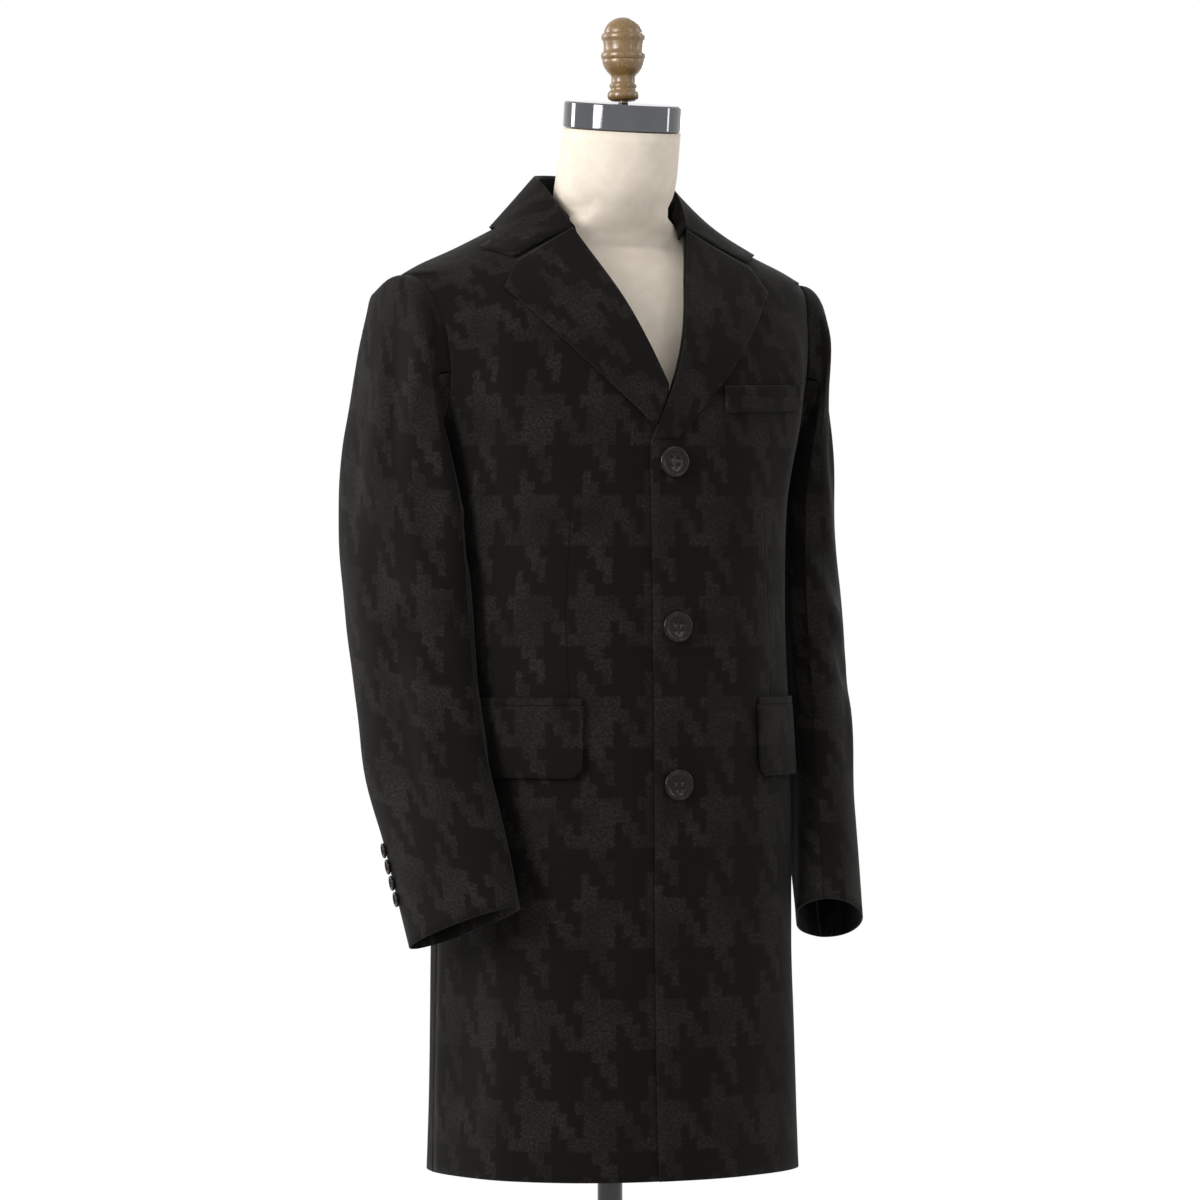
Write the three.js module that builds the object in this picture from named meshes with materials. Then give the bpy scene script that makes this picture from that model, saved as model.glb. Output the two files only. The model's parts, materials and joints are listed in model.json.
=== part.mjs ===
import * as THREE from 'three';

// A man's single-breasted overcoat on a limbless dress form with a stand.
// Millimetres, +Z up. The wearer faces -Y and the wearer's right is -X.
// The origin is the middle of the stand's base, on the floor.

// Cloth
const WALL = 2;              // heavy wool coating
const SEAM_GAP = 0.3;        // between panels at a seam
const LAY_GAP = 0.4;         // between a piece and the panel it lies on

// Heights of the coat
const HEM = 459;
const ARMPIT = 1172;
const SHOULDER_POINT = 1345;
const ROLL_START = 1176;     // where the lapel begins to turn back
const VENT_TOP = 700;

// Fronts
const FRONT_LAP = 24;        // each front passes the centre line by this
const LAP_BLEND = 26;        // width over which the under front sinks inwards
const VENT_LAP = 36;

// Buttons
const FRONT_BUTTON = { radius: 15.5, thickness: 4.2, well: 1.3 };
const CUFF_BUTTON = { radius: 7.6, thickness: 3, well: 0.8 };
const FRONT_BUTTON_HEIGHTS = [1159, 998, 844];
const CUFF_BUTTONS = 4;
const CUFF_BUTTON_PITCH = 15.6;
const CUFF_BUTTON_LOWEST = 732;
const CUFF_BUTTON_TURN = -53;  // degrees round the sleeve from its outer line

// Sections through the coat's body: half width, depth in front of and behind
// the widest point, where that point lies, and the power of the rounded oval.
const BODY_ROWS = [
  { z: 440, side: 186, front: 180, back: 146, mid: 13, power: 2.35 },
  { z: 560, side: 184, front: 175, back: 144, mid: 14, power: 2.35 },
  { z: 700, side: 182, front: 169, back: 143, mid: 12, power: 2.35 },
  { z: 850, side: 181, front: 162, back: 146, mid: 6, power: 2.35 },
  { z: 930, side: 178, front: 158, back: 144, mid: 3, power: 2.35 },
  { z: 1010, side: 173, front: 155, back: 136, mid: 2, power: 2.35 },
  { z: 1085, side: 178, front: 152, back: 134, mid: 2, power: 2.3 },
  { z: 1165, side: 190, front: 149, back: 136, mid: 3, power: 2.3 },
  { z: 1215, side: 200, front: 145, back: 139, mid: 4, power: 2.3 },
  { z: 1260, side: 209, front: 138, back: 140, mid: 6, power: 2.25 },
  { z: 1300, side: 215, front: 122, back: 134, mid: 8, power: 2.2 },
  { z: 1335, side: 219, front: 105, back: 117, mid: 16, power: 2.15 },
  { z: 1347, side: 214, front: 98, back: 108, mid: 19, power: 2.1 },
  { z: 1368, side: 168, front: 82, back: 94, mid: 19, power: 2.1 },
  { z: 1392, side: 120, front: 65, back: 78, mid: 17, power: 2.1 },
  { z: 1412, side: 85, front: 51, back: 68, mid: 12, power: 2.1 },
  { z: 1440, side: 72, front: 48, back: 60, mid: 10, power: 2.1 },
];

// Half width of the V neck, measured to the roll line of the lapel.
const ROLL_LINE = [
  { z: ROLL_START, half: -FRONT_LAP },
  { z: 1205, half: -11 },
  { z: 1229, half: 0 },
  { z: 1268, half: 16 },
  { z: 1328, half: 37 },
  { z: 1374, half: 56 },
  { z: 1392, half: 62 },
  { z: 1430, half: 76 },
];

// Armhole: an oval on the side of the body.
const ARMHOLE = { middleY: 11, front: 62, back: 66 };
const ARMHOLE_MIDDLE = (SHOULDER_POINT + ARMPIT) / 2;
const ARMHOLE_HALF = (SHOULDER_POINT - ARMPIT) / 2;

// Sections along a sleeve: the underarm and the outer end of each ring, its
// middle and half depth front to back, its turn about Z in degrees, and how
// much it rises towards the front.
const SLEEVE_ROWS = [
  { inX: 191, inZ: 1169, outX: 227, outZ: 1346, y: 16, depth: 67, turn: 0, rise: 0 },
  { inX: 192, inZ: 1165, outX: 238, outZ: 1335, y: 23, depth: 74, turn: 1, rise: 0 },
  { inX: 191, inZ: 1160, outX: 242, outZ: 1304, y: 28, depth: 81, turn: 3, rise: 0 },
  { inX: 187, inZ: 1152, outX: 245, outZ: 1258, y: 31, depth: 86, turn: 5, rise: 0 },
  { inX: 180, inZ: 1140, outX: 250, outZ: 1202, y: 31, depth: 88, turn: 8, rise: 0 },
  { inX: 172, inZ: 1118, outX: 254, outZ: 1140, y: 28, depth: 89, turn: 11, rise: 0 },
  { inX: 168, inZ: 1066, outX: 257, outZ: 1074, y: 23, depth: 89, turn: 13, rise: 0.02 },
  { inX: 170, inZ: 1000, outX: 257, outZ: 1002, y: 12, depth: 87, turn: 15, rise: 0.06 },
  { inX: 172, inZ: 930, outX: 256, outZ: 930, y: -5, depth: 81, turn: 17, rise: 0.14 },
  { inX: 170, inZ: 850, outX: 250, outZ: 850, y: -33, depth: 74, turn: 20, rise: 0.24 },
  { inX: 165, inZ: 770, outX: 241, outZ: 770, y: -66, depth: 69, turn: 24, rise: 0.33 },
  { inX: 162, inZ: 706, outX: 234, outZ: 706, y: -90, depth: 65, turn: 26, rise: 0.36 },
];
const SLEEVE_CLEARANCE = 7;  // between a sleeve and the body, over the flaps
const UNDERARM_CLEARANCE = 0.8;

// Lapel: its edge on the front, from the buttoning point up to its corner.
const LAPEL_EDGE = [
  { z: 1181, x: 4 },
  { z: 1201, x: 25 },
  { z: 1251, x: 77 },
  { z: 1290, x: 113 },
  { z: 1329, x: 146 },
];
const LAPEL_FOOT = { left: 1182, right: 1196 };
const ROLL_CROSSING = 1229;  // where the two roll lines meet
const LEFT_LAPEL = 0.94;     // the left lapel rolls a little narrower
const LAPEL_ROLL = 3.2;      // how proud the lapel stands along its roll
const NOTCH = { x: 127, z: 1355 };
const GORGE_IN = { x: 61, z: 1389 };

// Collar: the fold and the leaf's edge at stations from the back round to the
// front. The edge is given by its angle and height on the body.
const COLLAR_ROWS = [
  { foldX: 0, foldY: 80, foldZ: 1449, base: 180, baseZ: 1412, edge: 180, edgeZ: 1389 },
  { foldX: 30, foldY: 74, foldZ: 1449, base: 157, baseZ: 1412, edge: 160, edgeZ: 1390 },
  { foldX: 55, foldY: 56, foldZ: 1447, base: 133, baseZ: 1412, edge: 137, edgeZ: 1391 },
  { foldX: 69, foldY: 31, foldZ: 1444, base: 108, baseZ: 1412, edge: 112, edgeZ: 1393 },
  { foldX: 73, foldY: 6, foldZ: 1436, base: 78, baseZ: 1412, edge: 90, edgeZ: 1393 },
  { foldX: 71, foldY: -14, foldZ: 1421, base: 46, baseZ: 1412, edge: 76, edgeZ: 1388 },
  { foldX: 68, foldY: -30, foldZ: 1407, base: 33, baseZ: 1399, edge: 66, edgeZ: 1382 },
];
const COLLAR_CORNER = { x: 151, z: 1369 };
const COLLAR_ROLL = 3.4;     // radius of the fold
const STAND_DEPTH = 4.8;     // the stand's neck side, inside the panels' face
const LEAF_BULGE = 2;

// Pockets: places on the panels as an angle and a height.
const FLAP = { width: 150, height: 70, top: 921, startX: 95, thickness: 2.4, standOff: 2.2 };
const JET_HEIGHT = 7;
const WELT = { width: 108, height: 26, low: 1208, startX: 60, slant: 4 };

// Dress form and stand
const FORM_FOOT = 770;
const NECK_ROWS = [
  { z: 1408, radius: 56, y: 5 },
  { z: 1425, radius: 61, y: -7 },
  { z: 1445, radius: 61, y: -15 },
  { z: 1470, radius: 59.5, y: -23 },
  { z: 1491, radius: 58.5, y: -29 },
];
const CAP = { radius: 59, height: 26, tilt: THREE.MathUtils.degToRad(7), y: -28, z: 1492 };
const POLE_RADIUS = 12.5;
const BASE = { radius: 210, height: 14, chamfer: 4 };

const COLOURS = { coat: 0x1d1d1c, button: 0x2a1c16, linen: 0xe9e0d0 };
const { degToRad, clamp, lerp, smoothstep } = THREE.MathUtils;

// A value between two rows of a table, on a curve that doesn't overshoot.
function valueAt(rows, key, field, at) {
  const rising = rows[rows.length - 1][key] > rows[0][key];
  const table = rising ? rows : [...rows].reverse();
  const place = clamp(at, table[0][key], table[table.length - 1][key]);
  let i = 0;
  while (i < table.length - 2 && place > table[i + 1][key]) i += 1;
  const slope = (k) => {
    const k0 = clamp(k, 0, table.length - 2);
    return (table[k0 + 1][field] - table[k0][field]) / (table[k0 + 1][key] - table[k0][key]);
  };
  const tangent = (k) => {
    const before = slope(k - 1);
    const after = slope(k);
    return before * after <= 0 ? 0 : (2 * before * after) / (before + after);
  };
  const span = table[i + 1][key] - table[i][key];
  const t = (place - table[i][key]) / span;
  const t2 = t * t;
  const t3 = t2 * t;
  return (2 * t3 - 3 * t2 + 1) * table[i][field] + (t3 - 2 * t2 + t) * span * tangent(i)
    + (3 * t2 - 2 * t3) * table[i + 1][field] + (t3 - t2) * span * tangent(i + 1);
}

function section(z) {
  const at = (field) => valueAt(BODY_ROWS, 'z', field, z);
  return { side: at('side'), front: at('front'), back: at('back'), mid: at('mid'), power: at('power') };
}

// Soft waves of the skirt, deepest at the hem.
function drape(angle, z) {
  const fall = 1 - smoothstep(z, HEM, 930);
  return fall * (3.4 * Math.cos(5 * angle + 0.6) - 2.2 * Math.cos(3 * angle - 0.5));
}

// A point of the coat's outer face. Angle 0 is the centre front and PI the
// centre back, positive towards the wearer's left.
function bodyPoint(angle, z) {
  const row = section(z);
  const across = Math.sin(angle);
  const along = Math.cos(angle);
  const power = 2 / row.power;
  const depth = along > 0 ? row.front : row.back;
  const wave = 1 + drape(angle, z) / row.side;
  const x = row.side * Math.sign(across) * Math.abs(across) ** power;
  const y = depth * Math.sign(along) * Math.abs(along) ** power;
  return new THREE.Vector3(x * wave, row.mid - y * wave, z);
}

function bodyNormal(angle, z) {
  const turn = 0.01;
  const du = bodyPoint(angle + turn, z).sub(bodyPoint(angle - turn, z));
  const dv = bodyPoint(angle, z + 1).sub(bodyPoint(angle, z - 1));
  return du.cross(dv).normalize();
}

function onBody(angle, z, lift) {
  return bodyPoint(angle, z).addScaledVector(bodyNormal(angle, z), lift);
}

// The angle at which a section of the body has a given x or a given y.
function angleAtX(x, z) {
  const row = section(z);
  const share = clamp(Math.abs(x) / row.side, 0, 0.999);
  return Math.sign(x) * Math.asin(share ** (row.power / 2));
}

function angleAtY(y, z) {
  const row = section(z);
  const depth = y < row.mid ? row.front : row.back;
  const share = clamp(Math.abs(y - row.mid) / depth, 0, 0.999);
  const angle = Math.acos(share ** (row.power / 2));
  return y < row.mid ? angle : Math.PI - angle;
}

// Half width of the body at a place front to back.
function sideAt(y, z) {
  const row = section(z);
  const depth = y < row.mid ? row.front : row.back;
  const share = clamp(Math.abs(y - row.mid) / depth, 0, 1);
  return row.side * (1 - share ** row.power) ** (1 / row.power);
}

// The armhole's edge: -1 for its front, +1 for its back.
function armholeY(z, facing) {
  const share = clamp((z - ARMHOLE_MIDDLE) / ARMHOLE_HALF, -1, 1);
  const reach = facing < 0 ? ARMHOLE.front : ARMHOLE.back;
  return ARMHOLE.middleY + facing * reach * Math.sqrt(1 - share * share);
}

// One closed mesh from its points and faces, turned so that it faces out.
function closedGeometry(points, faces) {
  let volume = 0;
  for (const [a, b, c] of faces) volume += points[a].dot(points[b].clone().cross(points[c]));
  const index = faces.flatMap(([a, b, c]) => (volume > 0 ? [a, b, c] : [a, c, b]));
  const geometry = new THREE.BufferGeometry();
  const places = points.flatMap((p) => [p.x, p.y, p.z]);
  geometry.setAttribute('position', new THREE.Float32BufferAttribute(places, 3));
  geometry.setIndex(index);
  geometry.computeVertexNormals();
  return geometry;
}

// A wall between two grids of points, closed round its edge.
function wallGeometry(outer, inner) {
  const rows = outer.length;
  const columns = outer[0].length;
  const points = [...outer.flat(), ...inner.flat()];
  const out = (i, j) => i * columns + j;
  const into = (i, j) => rows * columns + i * columns + j;
  const faces = [];
  const quad = (a, b, c, d) => faces.push([a, b, c], [a, c, d]);
  for (let i = 0; i < rows - 1; i += 1) {
    for (let j = 0; j < columns - 1; j += 1) {
      quad(out(i, j), out(i, j + 1), out(i + 1, j + 1), out(i + 1, j));
      quad(into(i, j), into(i + 1, j), into(i + 1, j + 1), into(i, j + 1));
    }
    const last = columns - 1;
    quad(out(i + 1, last), out(i, last), into(i, last), into(i + 1, last));
    quad(out(i, 0), out(i + 1, 0), into(i + 1, 0), into(i, 0));
  }
  for (let j = 0; j < columns - 1; j += 1) {
    const top = rows - 1;
    quad(out(0, j + 1), out(0, j), into(0, j), into(0, j + 1));
    quad(out(top, j), out(top, j + 1), into(top, j + 1), into(top, j));
  }
  return closedGeometry(points, faces);
}

// A wall whose inner face is its outer one moved in along the grid's normals.
function clothGeometry(outer, thickness, sign = 1) {
  const last = outer.length - 1;
  const edge = outer[0].length - 1;
  const inner = outer.map((row, i) => row.map((point, j) => {
    const du = row[Math.min(j + 1, edge)].clone().sub(row[Math.max(j - 1, 0)]);
    const dv = outer[Math.min(i + 1, last)][j].clone().sub(outer[Math.max(i - 1, 0)][j]);
    return point.clone().addScaledVector(du.cross(dv).normalize(), -sign * thickness);
  }));
  return wallGeometry(outer, inner);
}

// A solid of rings of points, capped at both ends.
function ringSolid(rings) {
  const count = rings[0].length;
  const points = rings.flat();
  const faces = [];
  for (let i = 0; i < rings.length - 1; i += 1) {
    for (let j = 0; j < count; j += 1) {
      const next = (j + 1) % count;
      faces.push([i * count + j, i * count + next, (i + 1) * count + next]);
      faces.push([i * count + j, (i + 1) * count + next, (i + 1) * count + j]);
    }
  }
  const centre = (ring) => ring.reduce((sum, p) => sum.add(p), new THREE.Vector3()).divideScalar(count);
  const foot = points.push(centre(rings[0])) - 1;
  const head = points.push(centre(rings[rings.length - 1])) - 1;
  const top = (rings.length - 1) * count;
  for (let j = 0; j < count; j += 1) {
    const next = (j + 1) % count;
    faces.push([foot, next, j], [head, top + j, top + next]);
  }
  return closedGeometry(points, faces);
}

const coat = new THREE.Group();

const FINISH = {
  coat: { color: COLOURS.coat, roughness: 0.95, metalness: 0 },
  horn: { color: COLOURS.button, roughness: 0.3, metalness: 0 },
  linen: { color: COLOURS.linen, roughness: 0.9, metalness: 0 },
  chrome: { color: 0xdfe2e4, roughness: 0.12, metalness: 1 },
  wood: { color: 0x7a5330, roughness: 0.4, metalness: 0 },
  enamel: { color: 0xe6e5e1, roughness: 0.4, metalness: 0.1 },
};

function add(name, geometry, finish) {
  const mesh = new THREE.Mesh(geometry, new THREE.MeshStandardMaterial(FINISH[finish]));
  mesh.name = name;
  coat.add(mesh);
  return mesh;
}

// Fronts and backs
const PANEL_HEIGHTS = [HEM, 505, 560, 620, 680, 740, 800, 860, 920, 980, 1040, 1100, 1145,
  1172, 1176, 1186, 1204, 1230, 1260, 1288, 1312, 1330, 1340, 1345.5, 1357, 1370, 1384, 1397, 1410];
const PANEL_COLUMNS = 10;

// The angle at which a panel ends at the side: its side seam, then its armhole
// and then its shoulder seam.
function sideLimit(z, facing) {
  const half = SEAM_GAP / 2;
  if (z <= ARMPIT || z >= SHOULDER_POINT) return angleAtY(section(z).mid + facing * half, z);
  return angleAtY(armholeY(z, facing) + facing * half, z);
}

function frontLimit(z) {
  if (z > ROLL_START) return angleAtX(valueAt(ROLL_LINE, 'z', 'half', z), z);
  return angleAtX(-FRONT_LAP, z);
}

function backLimit(side, z) {
  const over = side > 0 ? 1 - smoothstep(z, VENT_TOP - 8, VENT_TOP + 8) : 0;
  return Math.PI + angleAtX(over * VENT_LAP - (1 - over) * SEAM_GAP / 2, z);
}

// How far a panel is sunk where the other one lies over it.
function lapSink(x, width) {
  return (WALL + 3 * LAY_GAP) * smoothstep(x, -width - LAP_BLEND, -width);
}

function panel(side, facing) {
  const sink = (angle, z) => {
    const x = -bodyPoint(angle, z).x;
    if (side > 0) return 0;
    if (facing < 0) return lapSink(x, FRONT_LAP);
    return lapSink(x, VENT_LAP) * (1 - smoothstep(z, VENT_TOP + 40, VENT_TOP + 100));
  };
  const face = (depth) => PANEL_HEIGHTS.map((z) => {
    const start = facing < 0 ? frontLimit(z) : backLimit(side, z);
    const end = sideLimit(z, facing);
    return Array.from({ length: PANEL_COLUMNS + 1 }, (_, j) => {
      const angle = lerp(start, end, j / PANEL_COLUMNS);
      return onBody(side * angle, z, -sink(angle, z) - depth);
    });
  });
  return wallGeometry(face(0), face(WALL));
}

add('front_left', panel(1, -1), 'coat');
add('front_right', panel(-1, -1), 'coat');
add('back_left', panel(1, 1), 'coat');
add('back_right', panel(-1, 1), 'coat');

// Dress form: linen torso and neck in one, just under the coat's shoulders
const FORM_INSET = [
  { z: FORM_FOOT, inset: 34 },
  { z: 900, inset: 24 },
  { z: 1040, inset: 12 },
  { z: 1165, inset: 9 },
  { z: 1300, inset: 7 },
  { z: 1345, inset: 4.4 },
  { z: 1357, inset: 3.4 },
  { z: 1390, inset: 8 },
];
const FORM_FRONT_EASE = 17;   // the chest of the form lies further in
const FORM_HEIGHTS = [FORM_FOOT, 830, 900, 970, 1040, 1110, 1165, 1215, 1260, 1300, 1325, 1340, 1350,
  1362, 1376, 1390];
const FORM_SIDES = 30;

function formRings() {
  const turns = Array.from({ length: FORM_SIDES }, (_, j) => (2 * Math.PI * j) / FORM_SIDES);
  const torso = FORM_HEIGHTS.map((z) => {
    const inset = valueAt(FORM_INSET, 'z', 'inset', z);
    return turns.map((angle) => {
      const ease = FORM_FRONT_EASE * Math.max(0, Math.cos(angle));
      return onBody(angle, z, -inset - ease);
    });
  });
  const neck = NECK_ROWS.map((row) => turns.map((angle) => new THREE.Vector3(
    row.radius * Math.sin(angle),
    row.y - row.radius * Math.cos(angle),
    row.z + smoothstep(row.z, 1400, 1470) * Math.tan(CAP.tilt) * row.radius * -Math.cos(angle),
  )));
  return [...torso, ...neck];
}
add('form_torso', ringSolid(formRings()), 'linen');

// Sleeves: a top and an under sleeve, joined down the front and the back seam
const TOP_SLEEVE_REACH = 98;  // degrees each way from the sleeve's outer line
const TOP_SLEEVE_COLUMNS = 12;
const UNDER_SLEEVE_COLUMNS = 8;
const SEAM_TURN = 0.5;        // degrees kept free at each sleeve seam

// The sleeve's first ring lies on the armhole's edge.
const ARMHOLE_LIFT = 0.6;     // the sleeve head starts just over the seam
function armholePoint(turn) {
  const z = ARMHOLE_MIDDLE + ARMHOLE_HALF * Math.cos(turn);
  const reach = Math.sin(turn) > 0 ? ARMHOLE.front : ARMHOLE.back;
  const y = ARMHOLE.middleY - reach * Math.sin(turn);
  return onBody(angleAtY(y, z), z, ARMHOLE_LIFT);
}

function sleevePoint(row, turn) {
  const twist = degToRad(row.turn);
  const reach = (row.outX - row.inX) / 2;
  const out = new THREE.Vector3(reach * Math.cos(twist), -reach * Math.sin(twist),
    (row.outZ - row.inZ) / 2);
  const fore = new THREE.Vector3(-Math.sin(twist), -Math.cos(twist), row.rise).multiplyScalar(row.depth);
  const point = new THREE.Vector3((row.inX + row.outX) / 2, row.y, (row.inZ + row.outZ) / 2);
  point.addScaledVector(out, Math.cos(turn)).addScaledVector(fore, Math.sin(turn));
  const clearance = lerp(SLEEVE_CLEARANCE, UNDERARM_CLEARANCE, smoothstep(point.z, 1040, 1150));
  point.x = Math.max(point.x, sideAt(point.y, point.z) + clearance);
  return point;
}

// The sections of the sleeve with one more between each pair below the head.
function sleeveRows() {
  const rows = [];
  SLEEVE_ROWS.forEach((row, i) => {
    rows.push(row);
    const next = SLEEVE_ROWS[i + 1];
    if (!next || i < 4) return;
    const middle = {};
    Object.keys(row).forEach((field) => { middle[field] = (row[field] + next[field]) / 2; });
    rows.push(middle);
  });
  return rows;
}

const sleeveSections = sleeveRows();

// A point of the left sleeve's outer face: ring 0 is the armhole's edge.
function sleeveFace(ring, turn) {
  return ring === 0 ? armholePoint(turn) : sleevePoint(sleeveSections[ring - 1], turn);
}

function sleeveNormal(ring, turn) {
  const swing = 0.08;
  const last = sleeveSections.length;
  const du = sleeveFace(ring, turn + swing).sub(sleeveFace(ring, turn - swing));
  const dv = sleeveFace(Math.min(ring + 1, last), turn).sub(sleeveFace(Math.max(ring - 1, 0), turn));
  return du.cross(dv).normalize();
}

function sleevePiece(side, from, to, columns) {
  const start = degToRad(from + SEAM_TURN);
  const end = degToRad(to - SEAM_TURN);
  const face = (depth) => Array.from({ length: sleeveSections.length + 1 }, (_, ring) => (
    Array.from({ length: columns + 1 }, (_column, j) => {
      const turn = lerp(start, end, j / columns);
      const point = sleeveFace(ring, turn).addScaledVector(sleeveNormal(ring, turn), -depth);
      point.x *= side;
      return point;
    })
  ));
  return wallGeometry(face(0), face(WALL));
}

for (const [name, side] of [['left', 1], ['right', -1]]) {
  const reach = TOP_SLEEVE_REACH;
  add(`top_sleeve_${name}`, sleevePiece(side, -reach, reach, TOP_SLEEVE_COLUMNS), 'coat');
  add(`under_sleeve_${name}`, sleevePiece(side, reach, 360 - reach, UNDER_SLEEVE_COLUMNS), 'coat');
}

// Lapels: turned back over the fronts along the roll line
function onFront(x, z, lift, side = 1) {
  const point = onBody(angleAtX(Math.max(x, 0), z), z, lift);
  if (x < 0) point.x = x;
  point.x *= side;
  return point;
}

const LAPEL_ROWS = 11;
const LAPEL_EASE = 1.4;      // how the lapel's upper end lifts off the chest
const LAPEL_COLUMNS = 6;

function lapelLine(side, foot) {
  const rollX = (z) => {
    const half = valueAt(ROLL_LINE, 'z', 'half', z);
    if (side > 0 && z < ROLL_CROSSING) return half;
    return Math.abs(half) + (z < ROLL_CROSSING ? 1.4 : 0.7);
  };
  const rows = Array.from({ length: LAPEL_ROWS }, (_, i) => {
    const share = i / (LAPEL_ROWS - 1);
    const rollZ = lerp(foot, GORGE_IN.z - 8, share);
    const edgeZ = lerp(foot, LAPEL_EDGE[LAPEL_EDGE.length - 1].z, share);
    const edgeX = valueAt(LAPEL_EDGE, 'z', 'x', edgeZ) * (side > 0 ? LEFT_LAPEL : 1);
    return { rollX: rollX(rollZ), rollZ, edgeX, edgeZ };
  });
  rows.push({ rollX: GORGE_IN.x, rollZ: GORGE_IN.z, edgeX: NOTCH.x, edgeZ: NOTCH.z });
  return rows;
}

function lapel(side, foot) {
  const face = (depth) => lapelLine(side, foot).map((row) => (
    Array.from({ length: LAPEL_COLUMNS + 1 }, (_, j) => {
      const share = j / LAPEL_COLUMNS;
      const roll = LAPEL_ROLL * (1 - share) ** 2 * smoothstep(row.rollZ, foot, foot + 60);
      const ease = LAPEL_EASE * smoothstep(row.edgeZ, 1270, 1330);
      const lift = LAY_GAP + WALL + roll + ease - depth;
      return onFront(lerp(row.rollX, row.edgeX, share), lerp(row.rollZ, row.edgeZ, share), lift, side);
    })
  ));
  return wallGeometry(face(0), face(WALL));
}
add('lapel_left', lapel(1, LAPEL_FOOT.left), 'coat');
add('lapel_right', lapel(-1, LAPEL_FOOT.right), 'coat');

// Collar: a stand inside the neck edge, folded over into the leaf
const LEAF_STEPS = 6;
const STATIONS_BETWEEN = 2;
const LEAF_LIFT = WALL + 1.6;

// The height of the shoulders over a place, found by halving.
function shoulderHeight(x, y) {
  let low = 1180;
  let high = 1440;
  for (let i = 0; i < 16; i += 1) {
    const z = (low + high) / 2;
    if (Math.abs(x) < sideAt(y, z)) low = z;
    else high = z;
  }
  return low;
}

function clearOfShoulder(point, lift) {
  point.z = Math.max(point.z, shoulderHeight(point.x, point.y) + lift);
  return point;
}

function collarStation(place, side) {
  const at = (field) => valueAt(COLLAR_PLACES, 'place', field, place);
  const base = onBody(degToRad(at('base')), at('baseZ'), -STAND_DEPTH);
  const fold = new THREE.Vector3(at('foldX'), at('foldY'), at('foldZ'));
  const edge = onBody(degToRad(at('edge')), at('edgeZ'), LEAF_LIFT);
  const away = edge.clone().sub(fold).setZ(0).normalize();
  const bulge = fold.clone().lerp(edge, 0.5).addScaledVector(away, LEAF_BULGE);
  bulge.z += LEAF_BULGE * 0.6;
  const near = fold.clone().addScaledVector(away, -COLLAR_ROLL);
  const far = fold.clone().addScaledVector(away, COLLAR_ROLL);
  const top = fold.clone().setZ(fold.z + COLLAR_ROLL);
  const leaf = new THREE.QuadraticBezierCurve3(far, bulge, edge).getPoints(LEAF_STEPS);
  leaf.slice(0, -1).forEach((point) => clearOfShoulder(point, 1.5 * LEAF_LIFT));
  const line = [base, base.clone().lerp(near, 0.5), near, top, ...leaf];
  line.forEach((point) => { point.x *= side; });
  return line;
}

// The last station runs down the gorge to the notch and up to the corner.
function collarEnd(side) {
  const gorge = [[0.03, 0.5], [0.25, 2.4], [0.5, 4], [0.75, 4.6], [1, 4.6], [1.1, 11]];
  const base = onFront(GORGE_IN.x - 5, GORGE_IN.z - 3, -STAND_DEPTH);
  const fold = onFront(GORGE_IN.x, GORGE_IN.z + 3, LAPEL_ROLL + COLLAR_ROLL);
  const near = fold.clone().add(new THREE.Vector3(-COLLAR_ROLL, 0, -2));
  const leaf = gorge.map(([share, up]) => onFront(
    lerp(GORGE_IN.x, NOTCH.x, share),
    lerp(GORGE_IN.z, NOTCH.z, share) + up,
    LEAF_LIFT + LAPEL_ROLL * Math.max(0, 1 - share) ** 2,
  ));
  const corner = onFront(COLLAR_CORNER.x, COLLAR_CORNER.z, LEAF_LIFT);
  const line = [base, base.clone().lerp(near, 0.5), near, fold, ...leaf, corner];
  line.forEach((point) => { point.x *= side; });
  return line;
}

const COLLAR_PLACES = COLLAR_ROWS.map((row, place) => ({ place, ...row }));

function collar() {
  const count = (COLLAR_ROWS.length - 1) * STATIONS_BETWEEN + 1;
  const places = Array.from({ length: count }, (_, i) => i / STATIONS_BETWEEN);
  const half = (side) => [...places.map((place) => collarStation(place, side)), collarEnd(side)];
  const stations = [...half(-1).reverse(), ...half(1).slice(1)];
  return clothGeometry(stations, WALL, -1);
}
add('collar', collar(), 'coat');

// Pockets: pieces laid on a panel, from a place round the body and a height
function angleAlong(start, z, distance) {
  const steps = 24;
  let angle = start;
  for (let i = 0; i < steps; i += 1) {
    const turn = 0.001;
    const speed = bodyPoint(angle + turn, z).distanceTo(bodyPoint(angle, z)) / turn;
    angle += distance / steps / speed;
  }
  return angle;
}

function laidPiece(side, shape) {
  const start = angleAtX(shape.startX, shape.low);
  const face = (depth) => shape.rows.map((rowShare) => shape.columns.map((share) => {
    const fromEnd = Math.min(share, 1 - share) * shape.width;
    const corner = shape.corner * Math.max(0, 1 - fromEnd / shape.corner) ** 2;
    const low = shape.low + shape.slant * share + corner;
    const z = lerp(low, shape.low + shape.slant * share + shape.height, rowShare);
    const angle = angleAlong(start, shape.low, shape.width * share);
    const lift = POCKET_LIFT + shape.thickness + shape.standOff * (1 - rowShare) - depth;
    return onBody(side * angle, z, lift);
  }));
  return wallGeometry(face(0), face(shape.thickness));
}

const ACROSS = [0, 0.02, 0.06, 0.14, 0.24, 0.34, 0.44, 0.54, 0.64, 0.74, 0.84, 0.94, 0.98, 1];
const SQUARE = 0.01;          // corner radius of a piece with square corners
const POCKET_LIFT = 0.95;     // clears the curve of the panel between two of its lines
const evenly = (count) => Array.from({ length: count + 1 }, (_, i) => i / count);

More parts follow.
